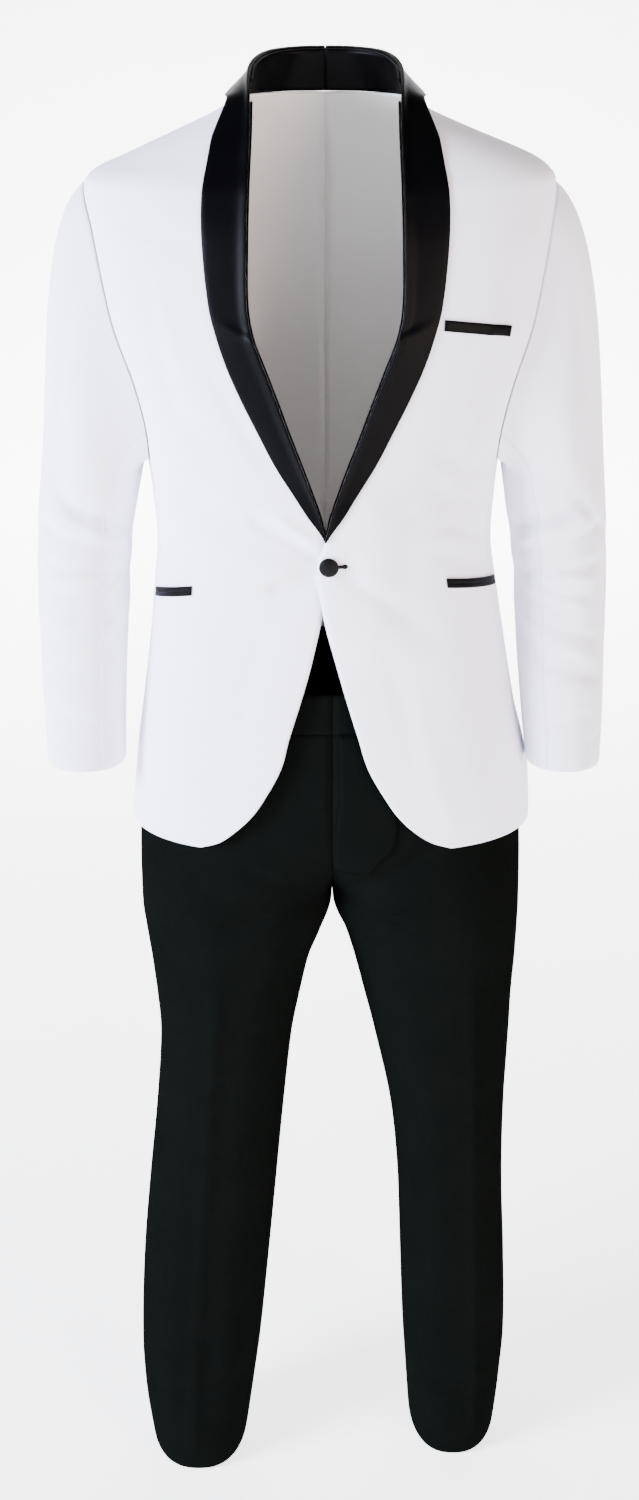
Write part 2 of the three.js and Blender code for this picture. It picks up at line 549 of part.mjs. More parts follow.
// Trousers: one side's front or back. Across runs from 0 at the outer seam to 100 at the inner one;
// above the crotch the section opens from a whole leg into half the hips, ending at the middle.
function trouserSurface(side, face) {
  const table = side > 0 ? TROUSER_LEFT : TROUSER_RIGHT;
  const flip = side * face > 0 ? -1 : 1;
  const folds = face > 0 ? TROUSER_FOLDS : TROUSER_BACK_FOLDS;
  return (sweep, height) => {
    const outer = column(table, 'outer', height);
    const inside = Math.max(side * column(table, 'inner', height), side * TROUSER_CENTRE);
    const inner = side * (inside + SEAM_GAP / 2);
    const [front, back] = [column(table, 'front', height), column(table, 'back', height)];
    const leg = smooth((CROTCH_START - height) / (CROTCH_START - CROTCH_HEIGHT));
    const middle = THREE.MathUtils.lerp(TROUSER_CENTRE, (inner + outer) / 2, leg);
    const place = THREE.MathUtils.lerp(0, (front + back) / 2, leg);
    const half = Math.abs(outer - middle);
    const limit = THREE.MathUtils.clamp((side * (inner - middle)) / half, -1, 1);
    const turn = Math.acos(signedPower(limit, 1 / SQUARE)) * flip * (sweep / 100);
    const x = middle + side * half * signedPower(Math.cos(turn), SQUARE);
    const fade = Math.min(1, Math.abs(Math.sin(turn)) * 3);
    const deep = (face > 0 ? place - front : back - place) + foldDepth(folds, x, height) * fade;
    const dip = face > 0 ? HEM_DIP * Math.max(0, Math.sin(turn)) * smooth((140 - height) / 130) : 0;
    return new THREE.Vector3(x, place - face * deep * signedPower(Math.sin(turn), SQUARE), height - dip);
  };
}
const LEG_ROWS = [...steps(10, 150, 5), ...steps(190, 430, 5), ...steps(470, 630, 4), 655, 680, CROTCH_HEIGHT];
const HIP_ROWS = [718, 740, 770, 810, 850, WAISTBAND.low - SEAM_GAP];
const ACROSS_GAP = 0.014;
for (const [name, side] of [['left', 1], ['right', -1]]) {
  for (const [part, face] of [['front', 1], ['back', -1]]) {
    const edges = side * face > 0 ? [ACROSS_GAP - 100, -ACROSS_GAP] : [ACROSS_GAP, 100 - ACROSS_GAP];
    panel(`trouser_${part}_${name}`, trouserSurface(side, face), [...LEG_ROWS, ...HIP_ROWS],
      () => edges, 8, BLACK);
  }
}

// Waistband: one strip each side, from the middle of the front to the middle of the back.
for (const [name, side] of [['left', 1], ['right', -1]]) {
  const front = trouserSurface(side, 1);
  const back = trouserSurface(side, -1);
  const round = (sweep, height) => {
    const across = side > 0 ? sweep : -sweep;
    if (across < 0) return front(side > 0 ? across : -across, height);
    return back(side > 0 ? across : -across, height);
  };
  panel(`waistband_${name}`, round, [WAISTBAND.low, WAISTBAND.high], () => [-100, 100], 18, BLACK);
}

// Fly: the strip that covers the fastening, on the left front from the middle.
const flyFront = trouserSurface(1, 1);
panel('fly', flyFront, steps(FLY.low, WAISTBAND.low - 2, 7), () => [FLY.from, FLY.to], 3, BLACK,
  { out: LAY_GAP + 0.3, thick: FLY.thick });

export default group;
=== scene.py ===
"""A worn, hollow tuxedo: a white one-button dinner jacket with a black satin shawl collar, over black
trousers. Tables and surface functions are in millimetres, with heights above the back of the trouser
hems; meshes are in metres. The front faces -Y and +X is the wearer's left."""
import math

import bpy
import numpy as np
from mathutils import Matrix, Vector


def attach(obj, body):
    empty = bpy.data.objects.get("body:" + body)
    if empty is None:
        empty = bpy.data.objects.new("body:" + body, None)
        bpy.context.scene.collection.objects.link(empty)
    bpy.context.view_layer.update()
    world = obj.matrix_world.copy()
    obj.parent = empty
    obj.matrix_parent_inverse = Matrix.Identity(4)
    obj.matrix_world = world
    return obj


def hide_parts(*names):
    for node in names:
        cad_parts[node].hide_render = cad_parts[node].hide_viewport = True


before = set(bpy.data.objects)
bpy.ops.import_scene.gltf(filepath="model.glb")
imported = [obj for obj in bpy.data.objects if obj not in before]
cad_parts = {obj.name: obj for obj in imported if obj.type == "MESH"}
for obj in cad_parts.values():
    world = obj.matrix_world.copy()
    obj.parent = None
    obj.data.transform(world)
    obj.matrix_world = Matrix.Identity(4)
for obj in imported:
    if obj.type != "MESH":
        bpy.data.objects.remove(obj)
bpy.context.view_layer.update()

MM = 0.001
NECK_HEIGHT = 1450.0
CLOTH = 2.0
SATIN = 1.6
LAY_GAP = 0.85
SQUARE = 0.82
SIDE_SEAM_FRONT = 74.0
SIDE_SEAM_BACK = 113.0
HEM_HEIGHT = 781.0
ARMPIT_HEIGHT = 1168.0
SHOULDER_HEIGHT = 1425.0
NECK_TOP = 1499.0
BREAK_HEIGHT = 1118.0
SLEEVE_TOP_HEIGHT = 1150.0
SLEEVE_FULL = 1300.0
SLEEVE_FRONT_SEAM = 118.0
SLEEVE_BACK_SEAM = 245.0
TROUSER_CENTRE = 8.0
WAISTBAND_LOW, WAISTBAND_HIGH = 906.0, 947.0
CROTCH_HEIGHT, CROTCH_START = 700.0, 850.0
HEM_DIP = 34.0
BUTTON = dict(x=3.8, height=1084.5, radius=9.5, dome=5.2)
LAP = dict(lift=6.2, full=10.0, none=26.0, low=965.0, high=1175.0, fade=52.0)


def table(columns, *rows):
    """A table with named columns: one array for each name, a row for each section."""
    return dict(zip(columns.split(), np.array(rows, float).T))


BODY = table(
    "height right left front back",
    (770, 203, 216, 126, 130), (835, 197, 212, 127, 130), (869, 193, 205, 126, 127),
    (903, 188, 196, 125, 121), (968, 179, 184, 122, 108), (1033, 172, 173, 121, 98),
    (1080, 168, 166, 122, 96), (1131, 171, 168, 124, 100), (1168, 176, 172, 124, 105),
    (1200, 184, 181, 123, 109), (1244, 197, 194, 121, 114), (1300, 213, 208, 117, 117),
    (1378, 224, 217, 102, 117), (1425, 227, 217, 86, 109), (1436, 217, 213, 80, 106),
    (1448, 190, 196, 73, 102), (1470, 141, 142, 62, 92), (1487, 104, 102, 53, 84),
    (1502, 80, 76, 44, 76),
)
ARMHOLE = table(
    "height front back",
    (1168, 74, 113), (1200, 67, 118), (1244, 65, 118), (1300, 69, 114), (1360, 73, 108),
    (1400, 78, 101), (1425, 89.9, 90.1),
)
SHAWL_LINE = table(
    "height roll outer",
    (1109, -1, 0.6), (1118, 2, 6), (1133, 5.5, 17), (1149, 11, 27), (1179, 22, 46), (1210, 34, 62),
    (1240, 45, 77),
    (1269, 56, 90), (1298, 67, 100), (1326, 72, 107), (1382, 72, 112.5), (1422, 71, 112.5),
    (1448, 70, 108), (1474, 69, 102), (1500, 69, 90),
)
COLLAR_TURN = table(
    "turn fold_x fold_y fold_z out_x out_y out_z",
    (76, 69, -33, 1504, 91, -26, 1500), (84, 69, -10, 1518, 93, -2, 1502),
    (103, 66, 18, 1529, 86, 40, 1504), (128, 53, 46, 1536, 63, 70, 1502),
    (154, 29, 65, 1538.5, 34, 88, 1499), (180, 0, 71, 1539, 0, 93, 1498),
)
FRONT_EDGE = table(
    "height over under",
    (781, 128, 126), (789, 109, 107), (803, 90, 90), (820, 74, 74), (838, 62, 62), (873, 43, 44),
    (907, 32.5, 35), (940, 22.5, 25), (970, 14, 16.5), (995, 7.5, 10.5), (1020, 1, 5), (1034, -2, 2),
    (1053, -5.5, -4), (1070, -7.5, -8), (1086, -6.5, -10), (1108, -1, -7), (1118, 2, 2),
)
SLEEVES = {
    -1: table(
        "height middle half place deep",
        (852, -245.5, 40, -36, 44), (903, -246, 41.5, -25, 47), (968, -245.5, 44, -12, 51),
        (1033, -243.5, 47, -2, 55), (1098, -239, 48.5, 2, 60), (1150, -231, 50.5, 4, 64),
    ),
    1: table(
        "height middle half place deep",
        (852, 245, 38, -36, 44), (903, 243, 41.5, -25, 47), (968, 240, 44.5, -12, 51),
        (1033, 237.5, 47, -2, 55), (1098, 232, 49.5, 2, 60), (1150, 226, 51, 4, 64),
    ),
}
TROUSERS = {
    -1: table(
        "height outer inner front back",
        (10, -203, -90, -98, 36), (65, -210, -82, -96, 40), (122, -212, -74, -92, 46),
        (227, -207.5, -63.5, -88, 58), (330, -198, -54, -88, 66), (430, -187, -45, -92, 66),
        (526, -179.5, -35, -98, 66), (574, -182, -26, -101, 70), (622, -187, -15, -104, 78),
        (655, -191.5, -2, -107, 86), (685, -195, 8, -108, 92), (780, -194, 8, -112, 112),
        (850, -186, 8, -114, 114), (925, -172, 8, -112, 102), (975, -165, 8, -110, 92),
    ),
    1: table(
        "height outer inner front back",
        (10, 203, 100, -72, 58), (65, 208, 96, -72, 60), (122, 211, 92, -72, 64),
        (227, 207.5, 87.5, -74, 68), (330, 202, 83, -78, 72), (430, 200.5, 73, -84, 72),
        (526, 202.5, 53.5, -92, 72), (574, 203.5, 42, -96, 75), (622, 206, 30, -101, 82),
        (655, 207, 20, -105, 87), (685, 207.5, 8, -108, 92), (780, 205, 8, -112, 112),
        (850, 195, 8, -114, 114), (925, 178, 8, -112, 102), (975, 167, 8, -110, 92),
    ),
}

# Folds: a soft trough (minus) or ridge (plus) from one point to another, and its width across.
# On the body and trousers a point is a place from right to left and a height.
FOLD = "x0 h0 x1 h1 depth width"
FRONT_FOLDS = table(
    FOLD,
    (-18, 1086, -120, 1130, -3.0, 14), (-20, 1070, -105, 1010, -2.2, 13), (24, 1084, 120, 1120, -2.4, 14),
    (26, 1070, 100, 1010, -2.0, 14), (110, 1150, 166, 1085, -4.5, 13), (120, 1180, 170, 1120, -3.0, 12),
    (-120, 1150, -168, 1090, -3.0, 13), (-150, 1260, -110, 1180, -2.4, 16),
    (150, 1260, 120, 1190, -2.4, 16),
    (-120, 980, -150, 820, 3.0, 24), (130, 980, 165, 820, 3.0, 24),
    # finer creases, for the dressed cloth only
    (-12, 1094, -62, 1124, -4.6, 7), (-14, 1072, -46, 1060, -4.2, 6), (-14, 1106, -40, 1126, 2.0, 5),
    (-14, 1062, -50, 1034, -1.4, 8), (-60, 1120, -130, 1150, -1.6, 12), (26, 1096, 92, 1138, -2.0, 9),
    (92, 1128, 150, 1172, -2.0, 10), (24, 1070, 62, 1044, -1.3, 8), (40, 1100, 120, 1106, 1.5, 12),
    (134, 1140, 166, 1116, -2.4, 6), (122, 1112, 164, 1092, -2.6, 6), (112, 1086, 160, 1066, -1.8, 7),
    (138, 1160, 168, 1142, 1.6, 5), (-138, 1120, -166, 1075, -2.0, 7), (-126, 1096, -160, 1050, -1.4, 7),
    (-60, 1190, -104, 1262, -1.8, 10), (-168, 1340, -140, 1220, -2.0, 9), (-150, 1320, -128, 1230, 1.4, 8),
    (172, 1350, 150, 1230, -2.0, 9), (156, 1310, 134, 1230, 1.4, 8), (60, 1000, 92, 880, -1.6, 12),
    (-64, 1000, -100, 870, -1.6, 12), (-190, 1400, -130, 1380, -1.8, 11), (190, 1404, 140, 1380, -1.6, 11),
    (-96, 900, -120, 810, 1.6, 14), (96, 900, 128, 812, 1.6, 14), (-170, 960, -160, 860, -1.8, 10),
)
BACK_FOLDS = table(
    FOLD,
    (-150, 1190, -95, 1110, -3.2, 15), (150, 1195, 90, 1120, -3.0, 16), (-130, 1060, -40, 1090, -2.6, 14),
    (125, 1050, 45, 1085, -2.4, 15), (-70, 990, -90, 800, 3.4, 28), (75, 990, 100, 800, 3.2, 28),
    (-126, 1126, -30, 1104, -2.8, 8), (118, 1116, 36, 1102, -2.6, 8), (-104, 1036, -46, 1058, -2.4, 8),
    (106, 1028, 52, 1052, -2.4, 8), (-160, 1250, -116, 1176, -2.8, 10), (160, 1244, 120, 1174, -2.6, 10),
    (-80, 1440, 80, 1441, -1.8, 12), (-140, 1300, -110, 1210, 1.8, 9), (142, 1290, 112, 1206, 1.8, 9),
    (-150, 1160, -100, 1084, 1.8, 8), (150, 1156, 96, 1080, 1.8, 8), (-30, 1088, 30, 1082, -2.0, 9),
    (-150, 1010, -120, 900, -2.2, 12), (150, 1010, 124, 900, -2.0, 12),
)
# On a sleeve a point is an angle round it and a height.
SLEEVE_FOLDS = table(
    FOLD,
    (95, 1120, 170, 1085, -4.0, 13), (60, 1085, 160, 1050, -3.2, 12), (90, 1010, 175, 1035, -3.4, 12),
    (70, 960, 160, 985, -2.6, 12), (30, 1190, 80, 1110, -2.2, 16), (210, 1060, 300, 1100, -2.6, 16),
    (60, 900, 130, 880, -2.0, 13),
    (60, 1128, 150, 1096, -2.6, 6), (44, 1098, 150, 1070, -2.8, 6), (70, 1112, 140, 1082, 1.8, 5),
    (50, 1062, 140, 1052, -2.2, 6), (66, 1030, 150, 1046, -2.6, 6), (58, 1046, 130, 1060, 1.6, 5),
    (50, 984, 148, 1010, -2.2, 7), (40, 944, 130, 962, -2.0, 7), (56, 966, 120, 984, 1.4, 6),
    (20, 1170, 90, 1110, -2.0, 8), (60, 908, 128, 898, -1.6, 6), (24, 884, 110, 872, -1.3, 7),
    (14, 1080, 70, 1130, -1.6, 8), (230, 1010, 300, 1030, -2.2, 9), (250, 1130, 310, 1150, -2.0, 9),
    (210, 1080, 290, 1050, -1.8, 8), (0, 1240, 60, 1190, -1.6, 9), (330, 1000, 380, 960, -1.4, 10),
)
TROUSER_FOLDS = table(
    FOLD,
    (-14, 735, -90, 690, -4.0, 15), (36, 726, 100, 768, -4.0, 15), (-20, 690, -80, 630, -2.6, 15),
    (24, 700, 90, 640, -2.6, 16), (-190, 440, -120, 470, -3.0, 18), (196, 450, 130, 480, -3.0, 18),
    (-190, 380, -130, 350, -2.6, 18), (-114, 600, -153, 40, 3.2, 8), (158, 600, 178, 40, 3.2, 8),
    (-205, 82, -110, 96, -5.0, 15), (205, 72, 125, 90, -5.0, 15), (-200, 142, -140, 128, -3.0, 16),
    (204, 135, 150, 122, -3.0, 16),
    (-8, 712, -66, 694, -3.0, 7), (20, 712, 78, 694, -2.8, 7), (-10, 724, -76, 752, -2.6, 8),
    (26, 728, 90, 764, -2.4, 8), (-12, 700, -56, 656, 1.8, 7), (26, 698, 70, 650, 1.8, 7),
    (-30, 600, -90, 560, -2.0, 12), (50, 600, 110, 560, -2.0, 12), (-186, 470, -130, 500, -2.4, 9),
    (-60, 470, -120, 440, -2.2, 10), (196, 420, 140, 396, -2.2, 9), (90, 470, 150, 440, -2.0, 10),
    (-190, 330, -140, 310, -1.8, 10), (196, 340, 150, 316, -1.8, 10), (-200, 112, -130, 122, -3.2, 8),
    (-104, 96, -160, 84, -2.8, 8), (200, 104, 130, 116, -3.2, 8), (110, 92, 160, 78, -2.6, 8),
    (-190, 64, -120, 62, -2.4, 8), (196, 52, 130, 62, -2.4, 8), (-190, 168, -130, 152, -2.0, 9),
    (200, 160, 140, 148, -2.0, 9),
)
TROUSER_BACK_FOLDS = table(
    FOLD,
    (-100, 640, -148, 40, 3.2, 8), (112, 640, 152, 40, 3.2, 8), (-20, 720, -120, 680, -4.0, 16),
    (34, 722, 130, 684, -4.0, 16), (-60, 460, -170, 430, -4.0, 18), (82, 455, 186, 430, -4.0, 18),
    (-70, 400, -150, 410, -2.8, 16), (-100, 110, -190, 90, -3.4, 16), (110, 104, 190, 92, -3.4, 16),
    (-40, 700, -100, 660, -1.6, 8), (50, 700, 110, 664, -1.6, 8), (-80, 440, -150, 420, -1.4, 8),
    (96, 436, 170, 416, -1.4, 8), (-110, 80, -180, 70, -1.4, 8), (120, 76, 184, 70, -1.4, 8),
)


def column(tab, name, height):
    """A column's value at each height: a smooth cubic through the rows, its slope at a row that of the
    line between the row's neighbours."""
    x, y = tab["height"], tab[name]
    before = np.maximum(np.arange(len(x)) - 1, 0)
    after = np.minimum(np.arange(len(x)) + 1, len(x) - 1)
    slope = (y[after] - y[before]) / (x[after] - x[before])
    k = np.clip(np.searchsorted(x, height, side="right") - 1, 0, len(x) - 2)
    span = x[k + 1] - x[k]
    t = np.clip((height - x[k]) / span, 0, 1)
    ease = t * t * (3 - 2 * t)
    bend = slope[k] * t * (1 - t) ** 2 - slope[k + 1] * t * t * (1 - t)
    return y[k] + (y[k + 1] - y[k]) * ease + bend * span


def smooth(t):
    """0 below 0, 1 above 1, and a smooth step between."""
    t = np.clip(t, 0, 1)
    return t * t * (3 - 2 * t)


def power(value, exponent):
    return np.sign(value) * np.abs(value) ** exponent


def fold_depth(folds, x, height):
    """How far folds move the cloth out: for each, depth times a bell across its line, fading past its
    ends."""
    depth = np.zeros(np.broadcast(x, height).shape)
    for x0, h0, x1, h1, deep, width in zip(*(folds[name] for name in FOLD.split())):
        length = math.hypot(x1 - x0, h1 - h0)
        along = ((x - x0) * (x1 - x0) + (height - h0) * (h1 - h0)) / length
        across = ((x - x0) * (h1 - h0) - (height - h0) * (x1 - x0)) / length
        past = np.maximum(0, np.maximum(-along, along - length))
        depth += deep * np.exp(-((across / width) ** 2) - (past / (width * 1.4)) ** 2)
    return depth


def body_point(angle, height):
    """Body surface: a rounded level section at each height. Angle 0 is the middle of the front, 90 the
    wearer's left side; x is the half width times sin to a power, y the depth times cos to that power."""
    turn = np.radians(angle)
    wide = np.where(np.sin(turn) < 0, column(BODY, "right", height), column(BODY, "left", height))
    front = np.cos(turn) > 0
    deep = np.where(front, column(BODY, "front", height), column(BODY, "back", height))
    x = wide * power(np.sin(turn), SQUARE)
    fold = np.where(front, fold_depth(FRONT_FOLDS, x, height), fold_depth(BACK_FOLDS, x, height))
    deep = deep + fold * np.minimum(1, np.abs(np.cos(turn)) * 3)
    return np.stack([x, -deep * power(np.cos(turn), SQUARE), height + 0 * x], -1)


def body_angle(x, height):
    wide = np.where(x < 0, column(BODY, "right", height), column(BODY, "left", height))
    return np.degrees(np.arcsin(power(np.clip(x / wide, -1, 1), 1 / SQUARE)))


# How far apart a surface is sampled for its normals, along and up it.
NORMAL_STEPS = 0.6, 1.5


def normals(surface, a, b, step_a, step_b):
    """Outward normals of a surface: the cross product of the steps between neighbours on both sides."""
    n = np.cross(
        surface(a + step_a, b) - surface(a - step_a, b),
        surface(a, b + step_b) - surface(a, b - step_b),
    )
    return n / np.maximum(np.linalg.norm(n, axis=-1, keepdims=True), 1e-9)


def outer_edge(height, side):
    """Angle of a front or back panel's outer edge: the side seam, then the armhole, then the shoulder."""
    seam = SIDE_SEAM_FRONT if side == "front" else SIDE_SEAM_BACK
    edge = np.where(height <= ARMPIT_HEIGHT, seam, column(ARMHOLE, side, height))
    return np.where(height >= SHOULDER_HEIGHT, 90.0, edge)


def front_line(height, lap):
    return np.where(
        height <= BREAK_HEIGHT, column(FRONT_EDGE, lap, height), column(SHAWL_LINE, "roll", height)
    )


def lap_lift(angle, height):
    """The left front stands out over the right one round the button, fading up, down and sideways."""
    near = smooth((LAP["none"] - np.abs(angle)) / (LAP["none"] - LAP["full"]))
    low = smooth((height - LAP["low"]) / LAP["fade"])
    return LAP["lift"] * near * low * smooth((LAP["high"] - height) / LAP["fade"])


def armhole_point(side, angle):
    """The armhole loop at an angle round the sleeve: up the front edge, down the back edge, and along
    the top of the side panel for 30 degrees each side of the armpit."""
    turn = np.mod(angle, 360.0)
    bottom = 30.0
    reach = 180.0 - bottom
    rise = lambda t: ARMPIT_HEIGHT + (SHOULDER_HEIGHT - ARMPIT_HEIGHT) * (1 + np.cos(np.pi * t)) / 2
    front_h, back_h = rise(np.clip(turn / reach, 0, 1)), rise(np.clip((360 - turn) / reach, 0, 1))
    under = SIDE_SEAM_FRONT + (SIDE_SEAM_BACK - SIDE_SEAM_FRONT) * (turn - reach) / (2 * bottom)
    is_front, is_back = turn <= reach, turn >= 360 - reach
    height = np.where(is_front, front_h, np.where(is_back, back_h, ARMPIT_HEIGHT))
    at_front, at_back = outer_edge(front_h + 0.01, "front"), outer_edge(back_h + 0.01, "back")
    edge = np.where(is_front, at_front, np.where(is_back, at_back, under))
    return body_point(side * edge, height)


def sleeve_surface(side):
    """Sleeve: an oval level section below the top height. Above it each line runs on a cubic from the
    armhole, leaving it outwards and down, to the top section, arriving along the sleeve."""
    tab = SLEEVES[side]

    def section(angle, height):
        turn = np.radians(angle)
        fold = fold_depth(SLEEVE_FOLDS, np.mod(angle, 360.0), height)
        half, deep = column(tab, "half", height) + fold, column(tab, "deep", height) + fold
        x = column(tab, "middle", height) + side * half * power(np.cos(turn), 0.92)
        y = column(tab, "place", height) - deep * power(np.sin(turn), 0.92)
        return np.stack([x, y, height + 0 * x], -1)

    def surface(sweep, level):
        sweep, level = np.broadcast_arrays(sweep, level)
        angle = -side * sweep
        low = section(angle, np.minimum(level, SLEEVE_TOP_HEIGHT))
        t = np.clip((SLEEVE_FULL - level) / (SLEEVE_FULL - SLEEVE_TOP_HEIGHT), 0, 1)[..., None]
        out = np.array([side * 0.8, 0, -0.6])
        start = armhole_point(side, angle) + out * 1.0
        end = section(angle, np.full(angle.shape, SLEEVE_TOP_HEIGHT))
        length = np.linalg.norm(end - start, axis=-1, keepdims=True)
        down = end - section(angle, np.full(angle.shape, SLEEVE_TOP_HEIGHT - 30))
        down = -down / np.linalg.norm(down, axis=-1, keepdims=True)
        high = start * (2 * t**3 - 3 * t**2 + 1) + out * (t**3 - 2 * t**2 + t) * length * 0.62
        high = high + end * (3 * t**2 - 2 * t**3) + down * (t**3 - t**2) * length
        return np.where((level <= SLEEVE_TOP_HEIGHT)[..., None], low, high)

    return surface


def trouser_surface(side, face):
    """One side's front (face 1) or back (face -1). Across runs from 0 at the outer seam to 100 at the
    inner one. Above the crotch the section opens from a whole leg into half the hips."""
    tab = TROUSERS[side]
    flip = -1 if side * face > 0 else 1
    folds = TROUSER_FOLDS if face > 0 else TROUSER_BACK_FOLDS

    def surface(sweep, height):
        outer = column(tab, "outer", height)
        inner = side * np.maximum(side * column(tab, "inner", height), side * TROUSER_CENTRE)
        front, back = column(tab, "front", height), column(tab, "back", height)
        leg = smooth((CROTCH_START - height) / (CROTCH_START - CROTCH_HEIGHT))
        middle = TROUSER_CENTRE + ((inner + outer) / 2 - TROUSER_CENTRE) * leg
        place = (front + back) / 2 * leg
        half = np.abs(outer - middle)
        limit = np.clip(side * (inner - middle) / half, -1, 1)
        turn = np.arccos(power(limit, 1 / SQUARE)) * flip * sweep / 100
        x = middle + side * half * power(np.cos(turn), SQUARE)
        fade = np.minimum(1, np.abs(np.sin(turn)) * 3)
        deep = (place - front if face > 0 else back - place) + fold_depth(folds, x, height) * fade
        dip = HEM_DIP * np.maximum(0, np.sin(turn)) * smooth((140 - height) / 130) if face > 0 else 0
        y = place - face * deep * power(np.sin(turn), SQUARE)
        return np.stack([x, y, height - dip + 0 * x], -1)

    return surface


# Meshes

def colour(code):
    """A linear RGBA colour from an sRGB hex value."""
    srgb = [int(code[i:i + 2], 16) / 255 for i in (1, 3, 5)]
    return [c / 12.92 if c <= 0.04045 else ((c + 0.055) / 1.055) ** 2.4 for c in srgb] + [1.0]


def grid_faces(rows, cols, start, flip):
    """Quads of a grid of rows by cols points, numbered row by row from start."""
    i, j = np.meshgrid(np.arange(rows - 1), np.arange(cols - 1), indexing="ij")
    a = (start + i * cols + j).ravel()
    quads = np.stack([a, a + 1, a + cols + 1, a + cols], 1)
    return quads[:, ::-1] if flip else quads


def new_mesh(name, points, quads, uv, slots, materials, node):
    """A mesh object from points in millimetres above the hems, quads, a UV for each point in metres, and a
    material number for each quad. It rides on the one body and replaces its node."""
    mesh = bpy.data.meshes.new(name)
    place = (points - np.array([0, 0, NECK_HEIGHT])) * MM
    mesh.from_pydata(place.tolist(), [], quads.tolist())
    layer = mesh.uv_layers.new(name="cloth")
    layer.data.foreach_set("uv", uv[quads.ravel()].astype(np.float32).ravel())
    for material in materials:
        mesh.materials.append(material)
    mesh.polygons.foreach_set("material_index", slots)
    mesh.polygons.foreach_set("use_smooth", np.ones(len(quads), bool))
    mesh.update()
    obj = bpy.data.objects.new(name, mesh)
    bpy.context.collection.objects.link(obj)
    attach(obj, "root")
    if node:
        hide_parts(node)
    return obj


def wall(name, outer, inner, face, back, node):
    """A closed wall between an outer and an inner grid of points. The outer side and the edges take the
    face cloth, the inner side the back cloth. The UV is the distance along the outer grid."""
    rows, cols = outer.shape[:2]
    along = np.linalg.norm(np.diff(outer, axis=1), axis=-1)
    up = np.linalg.norm(np.diff(outer, axis=0), axis=-1)
    u = np.concatenate([np.zeros((rows, 1)), np.cumsum(along, 1)], 1)
    v = np.concatenate([np.zeros((1, cols)), np.cumsum(up, 0)], 0)
    uv = np.stack([u, v], -1).reshape(-1, 2) * MM
    n = rows * cols
    number = np.arange(n).reshape(rows, cols)
    rim = np.concatenate([number[:-1, 0], number[-1, :-1], number[:0:-1, -1], number[0, :0:-1]])
    ahead = np.roll(rim, -1)
    edges = np.stack([rim, ahead, ahead + n, rim + n], 1)
    outside, inside = grid_faces(rows, cols, 0, False), grid_faces(rows, cols, n, True)
    quads = np.concatenate([outside, inside, edges])
    slots = np.repeat([0, 1, 0], [len(outside), len(inside), len(edges)])
    points = np.concatenate([outer.reshape(-1, 3), inner.reshape(-1, 3)])
    obj = new_mesh(name, points, quads, np.concatenate([uv, uv]), slots, [face, back], node)
    return obj


def edge_round(count, reach, drop):
    """How far cloth rolls down towards its two edges: drop at the edge, fading over reach points."""
    away = np.minimum(np.arange(count), np.arange(count)[::-1])
    return drop * np.exp(-((away / reach) ** 2))


# The trousers' middle seam is closed above this height.
SEAM_CLOSED_ABOVE = 684


def panel(name, surface, heights, edges, cols, face, back, node,
          out=0.0, thick=CLOTH, lift=None, drop=0.3, shut=None):
    """A panel of a surface: each row runs between its two edge angles at its height. The outer side is
    the surface moved out along its normals, less the roll of its sewn edges. Shut is an edge column whose
    wall stays in the plane of the trousers' middle above the crotch, so that the seam closes."""
    h = np.asarray(heights, float)
    low, high = (np.broadcast_to(e, h.shape)[:, None] for e in edges(h))
    t = np.linspace(0, 1, cols + 1)[None, :]
    angle = low + (high - low) * t
    height = np.broadcast_to(h[:, None], angle.shape)
    point, normal = surface(angle, height), normals(surface, angle, height, *NORMAL_STEPS)
    raised = out + (lift(angle, height) if lift else 0) + (thick if out > 0 else 0)
    raised = raised - edge_round(cols + 1, 2.0, drop)[None, :]
    raised = raised - edge_round(len(h), 1.5, drop * 0.6)[:, None]
    raised = np.broadcast_to(raised, angle.shape)[..., None]
    outer = point + normal * raised
    base = out + (lift(angle, height) if lift else 0) - (0 if out > 0 else thick)
    inner = point + normal * np.broadcast_to(base, angle.shape)[..., None]
    if shut is not None:
        outer[h > SEAM_CLOSED_ABOVE, shut, 0] = TROUSER_CENTRE
        inner[h > SEAM_CLOSED_ABOVE, shut, 0] = TROUSER_CENTRE
    return wall(name, outer, inner, face, back, node)


def strip(name, grid, thick, face, back, node, profile=None):
    """A grid of points thickened along its own normals; profile adds to the thickness across the rows."""
    n = np.cross(np.gradient(grid, axis=1), np.gradient(grid, axis=0))
    n /= np.maximum(np.linalg.norm(n, axis=-1, keepdims=True), 1e-9)
    extra = 0 if profile is None else profile
    return wall(name, grid + n * (thick + extra), grid, face, back, node)


